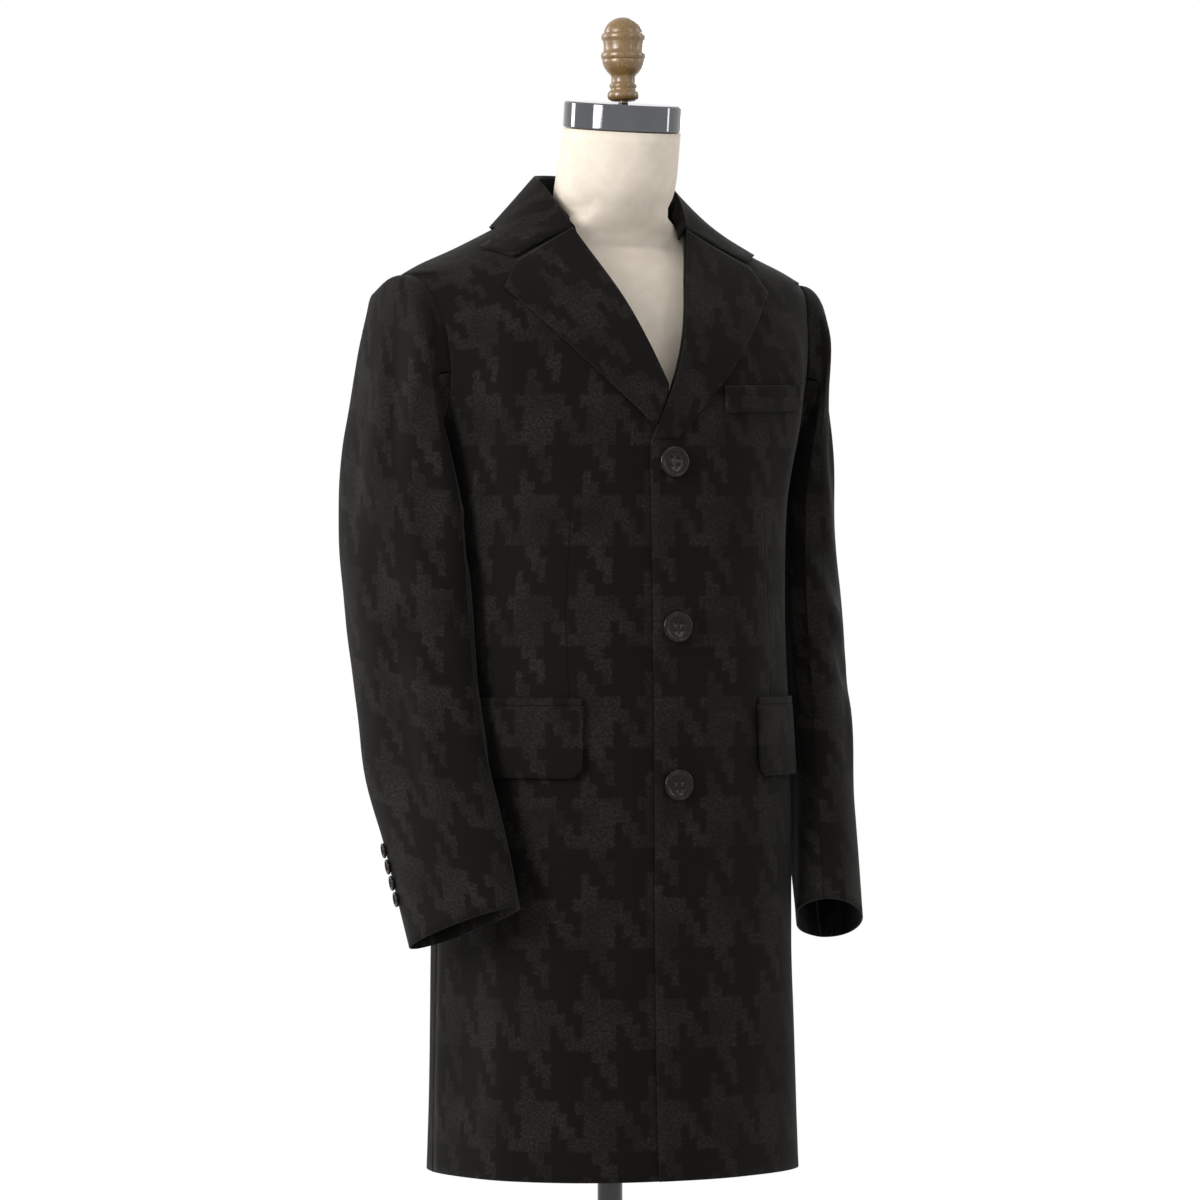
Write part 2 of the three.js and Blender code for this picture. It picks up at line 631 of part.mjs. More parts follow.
for (const [name, side] of [['left', 1], ['right', -1]]) {
  const place = { width: FLAP.width, startX: FLAP.startX, slant: 0, columns: ACROSS };
  const flap = { ...place, low: FLAP.top - FLAP.height, height: FLAP.height, rows: evenly(3),
    thickness: FLAP.thickness, standOff: FLAP.standOff, corner: 9 };
  const jet = { ...place, low: FLAP.top + SEAM_GAP, height: JET_HEIGHT, rows: evenly(1),
    thickness: WALL, standOff: 0, corner: SQUARE };
  add(`flap_${name}`, laidPiece(side, flap), 'coat');
  add(`jet_${name}`, laidPiece(side, jet), 'coat');
}
add('breast_welt', laidPiece(1, { ...WELT, rows: evenly(2), columns: evenly(8), thickness: WALL,
  standOff: 0, corner: SQUARE }), 'coat');

// Buttons: turned discs with a rim round a shallow well
function buttonGeometry(size, sides) {
  const { radius, thickness, well } = size;
  const profile = [[0, 0], [radius * 0.72, 0], [radius, thickness * 0.4], [radius, thickness * 0.75],
    [radius * 0.93, thickness], [radius * 0.8, thickness], [radius * 0.66, thickness - well],
    [0, thickness - well]];
  return new THREE.LatheGeometry(profile.map(([x, y]) => new THREE.Vector2(x, y)), sides);
}

function addButton(name, size, sides, place, outward) {
  const button = add(name, buttonGeometry(size, sides), 'horn');
  button.quaternion.setFromUnitVectors(new THREE.Vector3(0, 1, 0), outward);
  button.position.copy(place).addScaledVector(outward, LAY_GAP);
}

FRONT_BUTTON_HEIGHTS.forEach((z, i) => {
  addButton(`front_button_${i + 1}`, FRONT_BUTTON, 16, bodyPoint(0, z), bodyNormal(0, z));
});

function sleeveAt(z, turn) {
  const rows = sleeveRows();
  let i = rows.length - 2;
  while (i > 0 && sleevePoint(rows[i], turn).z < z) i -= 1;
  const high = sleevePoint(rows[i], turn);
  const low = sleevePoint(rows[i + 1], turn);
  return high.lerp(low, (high.z - z) / (high.z - low.z));
}

for (const [name, side] of [['left', 1], ['right', -1]]) {
  for (let i = 0; i < CUFF_BUTTONS; i += 1) {
    const z = CUFF_BUTTON_LOWEST + i * CUFF_BUTTON_PITCH;
    const turn = degToRad(CUFF_BUTTON_TURN);
    const place = sleeveAt(z, turn);
    const round = sleeveAt(z, turn + 0.1).sub(sleeveAt(z, turn - 0.1));
    const along = sleeveAt(z - 12, turn).sub(sleeveAt(z + 12, turn));
    const outward = round.cross(along).normalize();
    place.x *= side;
    outward.x *= side;
    addButton(`cuff_button_${name}_${i + 1}`, CUFF_BUTTON, 12, place, outward);
  }
}

// Dress form: neck cap, finial, pole and base
function turned(profile, sides) {
  return new THREE.LatheGeometry(profile.map(([x, y]) => new THREE.Vector2(x, y)), sides);
}

const upright = Math.PI / 2;
const cap = add('neck_cap', turned([[0, 0], [CAP.radius, 0], [CAP.radius, CAP.height - 1.5],
  [CAP.radius - 1.5, CAP.height], [0, CAP.height]], 36), 'chrome');
cap.rotation.x = upright + CAP.tilt;
cap.position.set(0, CAP.y, CAP.z);

const capTop = new THREE.Vector3(0, CAP.y - CAP.height * Math.sin(CAP.tilt),
  CAP.z + CAP.height * Math.cos(CAP.tilt));
const FINIAL = [[0, 1.2], [6, 1.2], [6, 4], [14.5, 4.5], [15.5, 6], [15.5, 12], [13.5, 16],
  [11.8, 19], [12, 25], [13, 29], [18, 33], [20.6, 39], [21.6, 43], [21.4, 49], [20.2, 51], [20.2,
  57], [21.5, 60], [20.8, 66],
  [18, 72.5], [13.5, 79], [8, 83.5], [3.5, 85.4], [0, 85.8]];
const finial = add('finial', turned(FINIAL, 16), 'wood');
finial.rotation.x = upright;
finial.position.copy(capTop);

const pole = add('pole', new THREE.CylinderGeometry(POLE_RADIUS, POLE_RADIUS,
  FORM_FOOT - BASE.height - 2 * SEAM_GAP, 20), 'enamel');
pole.rotation.x = upright;
pole.position.z = (FORM_FOOT + BASE.height) / 2;

const base = add('stand_base', turned([[0, 0], [BASE.radius, 0], [BASE.radius, BASE.height - BASE.chamfer],
  [BASE.radius - BASE.chamfer, BASE.height], [0, BASE.height]], 32), 'enamel');
base.rotation.x = upright;

export default coat;
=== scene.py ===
import json
import math
import bmesh
import bpy
from mathutils import Matrix, Vector
from mathutils.bvhtree import BVHTree

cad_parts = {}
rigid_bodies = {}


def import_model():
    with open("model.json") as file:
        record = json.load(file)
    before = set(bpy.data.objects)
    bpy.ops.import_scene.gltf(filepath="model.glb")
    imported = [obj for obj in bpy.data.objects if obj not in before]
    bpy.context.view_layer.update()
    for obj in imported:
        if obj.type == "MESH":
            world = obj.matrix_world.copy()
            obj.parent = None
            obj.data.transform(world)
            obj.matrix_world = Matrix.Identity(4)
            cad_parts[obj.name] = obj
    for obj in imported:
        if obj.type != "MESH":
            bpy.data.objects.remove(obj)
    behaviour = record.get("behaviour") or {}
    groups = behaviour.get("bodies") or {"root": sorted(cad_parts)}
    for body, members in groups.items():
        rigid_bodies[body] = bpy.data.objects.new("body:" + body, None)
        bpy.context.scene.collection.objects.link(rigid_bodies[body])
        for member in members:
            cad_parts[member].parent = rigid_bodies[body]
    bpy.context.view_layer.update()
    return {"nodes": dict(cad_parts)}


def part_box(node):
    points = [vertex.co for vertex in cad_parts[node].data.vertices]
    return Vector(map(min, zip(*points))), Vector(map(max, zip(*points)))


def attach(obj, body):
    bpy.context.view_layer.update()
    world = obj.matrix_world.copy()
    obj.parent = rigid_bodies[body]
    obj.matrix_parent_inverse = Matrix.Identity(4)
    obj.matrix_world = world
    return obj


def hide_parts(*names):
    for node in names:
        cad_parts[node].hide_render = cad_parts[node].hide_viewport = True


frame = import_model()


# The view of the photograph: a long lens level with the coat's waist, from
# a little to the wearer's right of the front.
CAMERA_DISTANCE = 5.5
CAMERA_TURN = math.radians(-25)
LOOK_AT = Vector((-0.00906, 0.00423, 1.024))
LENS, SENSOR = 165, 36           # in millimetres


def linked(name, data):
    """A new object in the scene, with this data."""
    made = bpy.data.objects.new(name, data)
    bpy.context.scene.collection.objects.link(made)
    return made


camera = linked("camera", bpy.data.cameras.new("camera"))
camera.data.lens = LENS
camera.data.sensor_width = SENSOR
away = Vector((math.sin(CAMERA_TURN), -math.cos(CAMERA_TURN), 0))
camera.location = LOOK_AT + away * CAMERA_DISTANCE
camera.rotation_euler = (-away).to_track_quat("-Z", "Y").to_euler()
bpy.context.scene.camera = camera


# The studio: a white surround, a pale floor, and broad soft lamps in front, at
# both sides and behind, which also draw the bright bands on the chrome.
LAMPS = (
    # turn from the front in degrees, distance, height, width, length, power
    (-74, 3.7, 2.4, 1.3, 2.4, 35), (21, 3.6, 2.6, 0.5, 2.4, 3.2),
    (75, 3.6, 2.4, 0.3, 2.4, 3.5), (-137, 3.5, 2.4, 0.7, 2.0, 9),
    (142, 3.5, 2.4, 0.7, 2.0, 9),
)
LAMP_AIM = Vector((0, 0, 1.5))
LAMP_SPREAD = math.radians(70)
WHITE = (1, 1, 1, 1)
FLOOR_RADIUS, FLOOR_STEPS = 3.6, 96
FLOOR_PAINT = (0.93, 0.93, 0.93, 1)


def as_mesh(work, name):
    """The mesh built in a bmesh, which is let go."""
    mesh = bpy.data.meshes.new(name)
    work.to_mesh(mesh)
    work.free()
    return mesh


def painted(name, settings):
    """A new material and its shader, with the shader's inputs set."""
    material = bpy.data.materials.new(name)
    material.use_nodes = True
    shader = material.node_tree.nodes["Principled BSDF"]
    for label, value in settings.items():
        shader.inputs[label].default_value = value
    return material, shader


world = bpy.data.worlds.new("studio")
world.use_nodes = True
world.node_tree.nodes["Background"].inputs["Color"].default_value = WHITE
world.node_tree.nodes["Background"].inputs["Strength"].default_value = 1.0
bpy.context.scene.world = world
bpy.context.scene.view_settings.view_transform = "Standard"

for number, (turn, distance, height, width, length, power) in enumerate(LAMPS):
    turn = math.radians(turn)
    lamp = bpy.data.lights.new(f"lamp_{number}", "AREA")
    lamp.shape = "RECTANGLE"
    lamp.size, lamp.size_y, lamp.energy, lamp.spread = width, length, power, LAMP_SPREAD
    light = linked(lamp.name, lamp)
    light.location = (math.sin(turn) * distance, -math.cos(turn) * distance, height)
    light.rotation_euler = (LAMP_AIM - light.location).to_track_quat("-Z", "Y").to_euler()

work = bmesh.new()
bmesh.ops.create_circle(work, cap_ends=True, segments=FLOOR_STEPS, radius=FLOOR_RADIUS)
floor = linked("floor", as_mesh(work, "floor"))
floor.data.materials.append(painted("floor", {"Base Color": FLOOR_PAINT, "Roughness": 0.8})[0])


# The fronts: two cut pieces of heavy wool, napped, with the large stepped
# houndstooth woven in. Each has a waist dart, turns under at its edges and
# falls from the shoulder, and the wearer's left laps over the right.
REPEAT = (0.060, 0.098)          # width and height of one tooth
WOOL_DARK = (0.0034, 0.0030, 0.0025)
WOOL_GREY = (0.0125, 0.0118, 0.0106)
BODY_GIRTH = (                   # height, and metres of cloth to a radian there
    (0.44, 0.184), (0.70, 0.178), (0.85, 0.176), (1.01, 0.166), (1.17, 0.180),
    (1.26, 0.190), (1.44, 0.190),
)
BODY_MID = 0.004                 # how far behind the origin the body's axis is
BODY_ROUND = 1.2                 # its width over its depth
HEM = 0.44
SHOULDER = (1.25, 0.09)          # where its slope begins, and over what height it comes in
SHOULDER_ACROSS = 1.06           # cloth to a metre across, on the slope
SHOULDER_DOWN = 0.8              # cloth to a metre forward, on the slope
SLOPE_FRONT, SLOPE_BACK = 0.09, 0.13     # where the slope is counted from
ARMHOLE_MIDDLE = (0.011, 1.2585)         # its place front to back, and its height
ARMHOLE_REACH = (0.062, 0.066, 0.0865)   # to the front, to the back, up and down
ARMHOLE_NEAR = 0.13              # how far across the body its seam begins
ARMHOLE_STILL = (1.05, 0.45)     # in reaches: where folds begin, and over what they come in
FOLD_SKIRT = 2.2                 # how many widths a fold takes to die out
BODY_SWAY = (0.006, 19)          # how far a fold wanders aside, and how fast along it
# soft folds of the body: angle in degrees from the centre front towards the
# wearer's left, height, length, width, lean in degrees, and depth, in metres
BODY_FOLDS = (
    (-52, 1.225, 0.150, 0.018, -6, 0.0051), (-62, 1.190, 0.170, 0.020, -9, -0.0054),
    (55, 1.215, 0.140, 0.018, 7, 0.0048), (66, 1.185, 0.160, 0.020, 10, -0.0051),
    (-23, 1.085, 0.070, 0.016, 55, -0.0034), (-12, 0.985, 0.060, 0.015, -60, -0.0027),
    (20, 1.080, 0.065, 0.016, -58, -0.0031), (26, 0.950, 0.070, 0.018, 62, 0.0026),
    (-38, 0.660, 0.230, 0.026, 3, 0.0061), (-72, 0.600, 0.260, 0.028, -4, -0.0068),
    (37, 0.640, 0.250, 0.028, -3, 0.0058), (70, 0.610, 0.240, 0.026, 5, -0.0065),
    (-16, 0.560, 0.180, 0.024, -5, -0.0037), (17, 0.570, 0.170, 0.024, 4, 0.0037),
    (128, 1.060, 0.090, 0.020, 52, 0.0061), (-134, 1.045, 0.085, 0.020, -48, -0.0065),
    (150, 0.985, 0.080, 0.018, 64, -0.0048), (-152, 1.000, 0.085, 0.018, -60, 0.0051),
    (141, 1.235, 0.130, 0.022, 8, 0.0058), (-139, 1.225, 0.140, 0.022, -9, 0.0061),
    (121, 0.640, 0.240, 0.028, -4, 0.0068), (-119, 0.620, 0.260, 0.028, 5, -0.0065),
    (152, 0.600, 0.220, 0.024, 3, -0.0051), (-154, 0.640, 0.230, 0.024, -3, 0.0051),
)


def along_table(table, x, column=1):
    """The value of a table of rows at x, straight between them."""
    if x <= table[0][0]:
        return table[0][column]
    for low, high in zip(table, table[1:]):
        if x <= high[0]:
            part = (x - low[0]) / (high[0] - low[0])
            return low[column] + part * (high[column] - low[column])
    return table[-1][column]


def soft(x):
    """A smooth bump, 1 at 0 and 0 from 1 on."""
    return (1 - x * x) ** 2 if abs(x) < 1 else 0.0


def body_angle(p):
    """The angle round the body, 0 at the centre front, positive to the wearer's left."""
    return math.atan2(p.x, -(p.y - BODY_MID) * BODY_ROUND)


def off_armhole(p):
    """0 at the armhole seam, where the cloth is held, and 1 away from it."""
    if abs(p.x) < ARMHOLE_NEAR:
        return 1.0
    back, up = p.y - ARMHOLE_MIDDLE[0], p.z - ARMHOLE_MIDDLE[1]
    reach = ARMHOLE_REACH[0] if back < 0 else ARMHOLE_REACH[1]
    away = math.hypot(back / reach, up / ARMHOLE_REACH[2])
    return min(max((away - ARMHOLE_STILL[0]) / ARMHOLE_STILL[1], 0.0), 1.0)


def fold_depth(folds, angle, girth, z, sway, upright=False):
    """How deep a table's folds are at an angle and height, with girth metres to a radian."""
    depth = 0.0
    for at, height, length, width, lean, size in folds:
        turn = (angle - math.radians(at) + math.pi) % (2 * math.pi) - math.pi
        across, up = turn * girth, z - height
        lean = math.radians(lean)
        ridge = across * math.cos(lean) - up * math.sin(lean)
        run = across * math.sin(lean) + up * math.cos(lean)
        bend = ridge + sway[0] * math.sin((up if upright else run) * sway[1] + at)
        depth += size * soft(bend / (FOLD_SKIRT * width)) * soft(run / length)
    return depth


def body_fold(p):
    """How far the body's folds move the cloth at p."""
    angle = body_angle(p)
    depth = fold_depth(BODY_FOLDS, angle, along_table(BODY_GIRTH, p.z), p.z, BODY_SWAY)
    return Vector((math.sin(angle), -math.cos(angle), 0)) * depth * off_armhole(p)


def body_uv(p, turn=None):
    """Where p lies on the flat cloth of the body, in metres, with the slope of the shoulder."""
    turn = body_angle(p) if turn is None else turn
    in_front = abs(body_angle(p)) < math.pi / 2
    shoulder = min(max((p.z - SHOULDER[0]) / SHOULDER[1], 0), 1)
    level = turn * along_table(BODY_GIRTH, p.z)
    straight = (p.x if in_front else -p.x) * SHOULDER_ACROSS
    slope = p.y + SLOPE_FRONT if in_front else SLOPE_BACK - p.y
    return level + (straight - level) * shoulder, p.z - HEM + SHOULDER_DOWN * slope * shoulder


MERGE = 0.00002                  # corners of a CAD node nearer than this are one
QUAD_FLAT, QUAD_SQUARE = 40, 60  # degrees within which two triangles become one quad
CREASE_FROM = 50                 # degrees, from which an edge stays creased when divided
CLOTH_FINER = 2                  # how often a cut piece is divided
CLOTH_SHARP = 50                 # degrees, from which an edge of the cloth is shaded sharp


def refined(node, levels, crease_from=CREASE_FROM):
    """A smooth, finer copy of a CAD node, merged and in quads, with its rims sharp."""
    work = bmesh.new()
    work.from_mesh(frame["nodes"][node].data)
    work.transform(frame["nodes"][node].matrix_world)
    bmesh.ops.remove_doubles(work, verts=work.verts, dist=MERGE)
    bmesh.ops.join_triangles(
        work, faces=work.faces, angle_face_threshold=math.radians(QUAD_FLAT),
        angle_shape_threshold=math.radians(QUAD_SQUARE))
    crease = work.edges.layers.float.new("crease_edge")
    for edge in work.edges:
        if len(edge.link_faces) != 2 or edge.calc_face_angle(0) > math.radians(crease_from):
            edge[crease] = 1.0
    mesh = as_mesh(work, node + ".fine")
    if not levels:
        return mesh
    carrier = linked(node + ".fine", mesh)
    finer = carrier.modifiers.new("finer", "SUBSURF")
    finer.levels = finer.render_levels = levels
    graph = bpy.context.evaluated_depsgraph_get()
    fine = bpy.data.meshes.new_from_object(carrier.evaluated_get(graph))
    bpy.data.objects.remove(carrier)
    bpy.data.meshes.remove(mesh)
    return fine


def smoothed(mesh, sharp_from):
    """Smooth shading, but for edges sharper than this many degrees."""
    mesh.shade_smooth()
    mesh.set_sharp_from_angle(angle=math.radians(sharp_from))


def placed(name, mesh, material, node):
    """Links a finished piece with its material to the root body, and hides the CAD node that it stands
    for, if any.
    """
    mesh.materials.clear()
    mesh.materials.append(material)
    piece = linked(name, mesh)
    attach(piece, "root")
    if node:
        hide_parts(node)
    return piece


def chart_cloth(mesh, chart):
    """Lays each point of a mesh flat, for the weave."""
    layer = mesh.uv_layers.get("cloth") or mesh.uv_layers.new(name="cloth")
    flat = [chart(vertex.co) for vertex in mesh.vertices]
    for loop in mesh.loops:
        layer.data[loop.index].uv = flat[loop.vertex_index]


def cloth_piece(node, coating, fold, chart, crease_from=CREASE_FROM):
    """A cut piece of the coat: fold moves each point, chart lays it flat."""
    mesh = refined(node, CLOTH_FINER, crease_from)
    for vertex in mesh.vertices:
        vertex.co += fold(vertex.co)
    chart_cloth(mesh, chart)
    smoothed(mesh, CLOTH_SHARP)
    return placed("cloth_" + node, mesh, coating, node)


class Group:
    """Builds a shader node group, or adds to a material's tree, with short calls."""

    def __init__(self, tree):
        self.tree = tree

    @classmethod
    def new(cls, name, inputs, outputs):
        """An empty node group with these sockets."""
        tree = bpy.data.node_groups.new(name, "ShaderNodeTree")
        for label, kind, value in inputs:
            socket = tree.interface.new_socket(label, in_out="INPUT", socket_type="NodeSocket" + kind)
            if value is not None:
                socket.default_value = value
        for label, kind in outputs:
            tree.interface.new_socket(label, in_out="OUTPUT", socket_type="NodeSocket" + kind)
        group = cls(tree)
        group.inside = tree.nodes.new("NodeGroupInput").outputs
        group.out = tree.nodes.new("NodeGroupOutput").inputs
        return group

    def link(self, value, socket):
        """Joins an output to a socket, or sets the socket to a plain value."""
        if isinstance(value, bpy.types.NodeSocket):
            self.tree.links.new(value, socket)
        else:
            socket.default_value = value

    def node(self, kind, inputs=(), **settings):
        made = self.tree.nodes.new("ShaderNode" + kind)
        for key, value in settings.items():
            setattr(made, key, value)
        for key, value in dict(inputs).items():
            self.link(value, made.inputs[key])
        return made

    def math(self, operation, a, b=0.0, clamp=False):
        return self.node("Math", {0: a, 1: b}, operation=operation, use_clamp=clamp).outputs[0]

    def mix(self, factor, a, b):
        made = self.node("Mix", {0: factor}, data_type="RGBA")
        self.link(a, made.inputs[6])
        self.link(b, made.inputs[7])
        return made.outputs[2]

    def range(self, value, low, high, to_low=0.0, to_high=1.0):
        """A soft step of a value between low and high."""
        return self.node(
            "MapRange", {0: value, 1: low, 2: high, 3: to_low, 4: to_high},
            interpolation_type="SMOOTHSTEP").outputs[0]

    def vector(self, operation, a, b):
        return self.node("VectorMath", {0: a, 1: b}, operation=operation).outputs

    def scaled(self, vector, scale):
        return self.node("VectorMath", {0: vector, "Scale": scale}, operation="SCALE").outputs[0]

    def noise(self, vector, scale, detail=2.0, rough=0.5):
        made = self.node(
            "TexNoise", {"Vector": vector, "Scale": scale, "Detail": detail, "Roughness": rough})
        return made.outputs

    def use(self, group, **inputs):
        made = self.node("Group", node_tree=group.tree)
        for key, value in inputs.items():
            self.link(value, made.inputs[key])
        return made.outputs


TWILL_ENDS = 8.0                 # four dark and four pale ends make up the repeat
FRAY = 0.0150                    # how far the nap blurs the steps of the tooth
# the painted shade that darkens the groove of a seam or dart
SEAM_SHADOW_COLOUR = (0.0018, 0.0017, 0.0016, 1)
SEAM_WIDTH = 0.0016
SEAM_SHADE, SEAM_SUNK = 0.8, 1.8     # how strongly painted shade darkens a seam's groove, and how deep it is sunk
BASE_FLECK = 0.16                # how pale the nap is on the dark ends

# four dark and four pale ends each way in a two-and-two twill: the stepped tooth
tooth = Group.new(
    "stepped_houndstooth",
    [("cloth", "Vector", None), ("width", "Float", REPEAT[0]), ("height", "Float", REPEAT[1]),
     ("fray", "Float", FRAY)],
    [("pale", "Float")])
wander = tooth.noise(tooth.inside["cloth"], scale=330.0, detail=4.0, rough=0.8)["Color"]
moved = tooth.vector("SUBTRACT", wander, (0.5, 0.5, 0.5))[0]
shifted = tooth.vector("ADD", tooth.inside["cloth"], tooth.scaled(moved, tooth.inside["fray"]))[0]
apart = tooth.node("SeparateXYZ", {0: shifted}).outputs
ends = []
for axis, size in ((0, tooth.inside["width"]), (1, tooth.inside["height"])):
    eighths = tooth.math("MULTIPLY", tooth.math("DIVIDE", apart[axis], size), TWILL_ENDS)
    ends.append(tooth.math("FLOORED_MODULO", tooth.math("FLOOR", eighths), TWILL_ENDS))
twill = tooth.math("FLOORED_MODULO", tooth.math("ADD", ends[0], ends[1]), TWILL_ENDS / 2)
warp_shows = tooth.math("LESS_THAN", twill, 1.5)
warp_pale = tooth.math("GREATER_THAN", ends[0], 3.5)
weft_pale = tooth.math("GREATER_THAN", ends[1], 3.5)
warp_part = tooth.math("MULTIPLY", warp_pale, warp_shows)
weft_part = tooth.math("MULTIPLY", weft_pale, tooth.math("SUBTRACT", 1.0, warp_shows))
tooth.link(tooth.math("ADD", warp_part, weft_part), tooth.out["pale"])

# wool that has been milled and brushed: pale flecks, a short nap and a slow mottle, with painted shade
# along its seams and darts
nap = Group.new(
    "brushed_wool",
    [("cloth", "Vector", None), ("pale", "Float", 0.0), ("dark", "Color", WOOL_DARK + (1,)),
     ("grey", "Color", WOOL_GREY + (1,)), ("seam", "Float", 0.0)],
    [("colour", "Color"), ("height", "Float")])
fine_fleck = nap.noise(nap.inside["cloth"], scale=900.0, detail=3.0, rough=0.75)[0]
broad_fleck = nap.noise(nap.inside["cloth"], scale=340.0, detail=3.0, rough=0.70)[0]
both = nap.math("MULTIPLY", nap.math("ADD", fine_fleck, broad_fleck), 0.5)
fleck = nap.range(both, low=0.43, high=0.60, to_low=0.12, to_high=1.0)
fibre = nap.noise(nap.inside["cloth"], scale=2300.0, detail=2.0, rough=0.6)[0]
cloudy = nap.noise(nap.inside["cloth"], scale=22.0, detail=3.0, rough=0.55)[0]
mottle = nap.range(cloudy, low=0.30, high=0.72, to_low=0.45, to_high=1.30)
strength = nap.math("MULTIPLY", nap.inside["pale"], nap.math("MULTIPLY", mottle, fleck), clamp=True)
base_fleck = nap.math("MULTIPLY", nap.range(fibre, low=0.60, high=0.80), BASE_FLECK)
both_flecks = nap.math("ADD", strength, base_fleck, clamp=True)
body = nap.mix(both_flecks, nap.inside["dark"], nap.inside["grey"])
# painted shade: the cloth darkened along a seam or dart, where its groove is
shade = nap.math("MULTIPLY", nap.inside["seam"], SEAM_SHADE)
nap.link(nap.mix(shade, body, SEAM_SHADOW_COLOUR), nap.out["colour"])
level = nap.math("ADD", nap.math("MULTIPLY", fleck, 0.5), nap.math("MULTIPLY", fibre, 0.6))
sunk = nap.math("MULTIPLY", nap.inside["seam"], SEAM_SUNK)
nap.link(nap.math("SUBTRACT", level, sunk), nap.out["height"])

# a thin line on the cloth from one point to another, a dart or seam: where painted shade darkens its
# groove
line = Group.new(
    "sewn_line",
    [("cloth", "Vector", None), ("from", "Vector", (0, 0, 0)), ("to", "Vector", (0, 1, 0)),
     ("width", "Float", SEAM_WIDTH)],
    [("seam", "Float")])
run = line.vector("SUBTRACT", line.inside["to"], line.inside["from"])[0]
here = line.vector("SUBTRACT", line.inside["cloth"], line.inside["from"])[0]
share = line.math(
    "DIVIDE", line.vector("DOT_PRODUCT", here, run)["Value"],
    line.vector("DOT_PRODUCT", run, run)["Value"], clamp=True)
gap = line.vector("DISTANCE", here, line.scaled(run, share))["Value"]
line.link(line.range(gap, line.inside["width"], 0.0), line.out["seam"])


def bumped(tree, shader, height, strength, distance):
    """Raises a shader's surface by a height."""
    bump = tree.node("Bump", {"Height": height, "Strength": strength, "Distance": distance})
    tree.link(bump.outputs[0], shader.inputs["Normal"])


def wool(name, seams=()):
    """The coating, with the seams or darts given as pairs of points on the flat cloth, darkened along
    them with painted shade.
    """
    material, shader = painted(name, {
        "Roughness": 0.92, "Specular IOR Level": 0.06, "Sheen Weight": 0.06,
        "Sheen Roughness": 0.42, "Sheen Tint": (0.62, 0.62, 0.60, 1)})
    tree = Group(material.node_tree)
    cloth = tree.node("UVMap", uv_map="cloth").outputs[0]
    seam = 0.0
    for low, high in seams:
        drawn = tree.use(line, **{"cloth": cloth, "from": low + (0,), "to": high + (0,)})["seam"]
        seam = tree.math("MAXIMUM", seam, drawn)
    pale = tree.use(tooth, cloth=cloth)["pale"]
    surface = tree.use(nap, cloth=cloth, pale=pale, seam=seam)
    tree.link(surface["colour"], shader.inputs["Base Color"])
    bumped(tree, shader, surface["height"], strength=0.45, distance=0.0006)
    return material


DARTS = (                        # their ends on the flat cloth, right and left
    ((-0.100, 0.672), (-0.098, 0.487)), ((0.106, 0.672), (0.107, 0.487)),
)
# the darts are drawn with painted shade along them
front_coating = wool("front_coating", DARTS)
for node in ("front_left", "front_right"):
    front = cloth_piece(node, front_coating, body_fold, body_uv)


# The backs: two cut pieces of the same wool joined by the centre back seam,
# shaped at the waist, the left one lapping over the right at the vent.
# the centre back seam is drawn with painted shade along it
back_coating = wool("back_coating", (((0.0, 0.27), (0.0, 0.98)),))


def back_chart(p):
    """The cloth laid flat from the centre back seam."""
    return body_uv(p, (body_angle(p) % (2 * math.pi)) - math.pi)


for node in ("back_left", "back_right"):
    back = cloth_piece(node, back_coating, body_fold, back_chart)


# The lapels: the fronts' facings turned back along the roll line, pressed soft
# and not flat, with a notch below the collar.
LAPEL_TURN = math.radians(24)    # the weave's lean, along the lapel's own edge
LAPEL_PIVOT = (0.02, 1.18)       # across and up: the point that the weave is turned about
LAPEL_FLAT = (0.013, 0.031)      # where the pivot lies on the flat cloth
LAPEL_CREASE = 26                # degrees, from which an edge of the lapel stays creased
lapel_coating = wool("lapel_coating")


def lapel_chart(p):
    """The lapel laid flat, turned in the plane of its face."""
    side = 1 if p.x > 0 else -1
    lean = LAPEL_TURN * side
    across, up = p.x - side * LAPEL_PIVOT[0], p.z - LAPEL_PIVOT[1]
    return (across * math.cos(lean) - up * math.sin(lean) + side * LAPEL_FLAT[0],
            across * math.sin(lean) + up * math.cos(lean) + LAPEL_FLAT[1])


for node, area in (("lapel_left", 0.0150), ("lapel_right", 0.0157)):
    lapel = cloth_piece(node, lapel_coating, body_fold, lapel_chart, LAPEL_CREASE)


# The collar: one leaf and stand cut on the curve, folded over at the back of
# the neck and lying on the fronts down to the notches.
COLLAR_FORWARD = 0.03            # how far before the origin the collar is centred
COLLAR_GIRTH = 0.085             # metres of cloth to a radian round the neck
COLLAR_DOWN = 0.9                # cloth to a metre of height
COLLAR_FLAT = (0.042, 0.02)
COLLAR_CREASE = 36


def collar_chart(p):
    """The collar laid flat round the neck."""
    turn = math.atan2(p.x, p.y + COLLAR_FORWARD)
    return turn * COLLAR_GIRTH + COLLAR_FLAT[0], p.z * COLLAR_DOWN + COLLAR_FLAT[1]


collar = cloth_piece("collar", lapel_coating, lambda p: Vector(), collar_chart, COLLAR_CREASE)


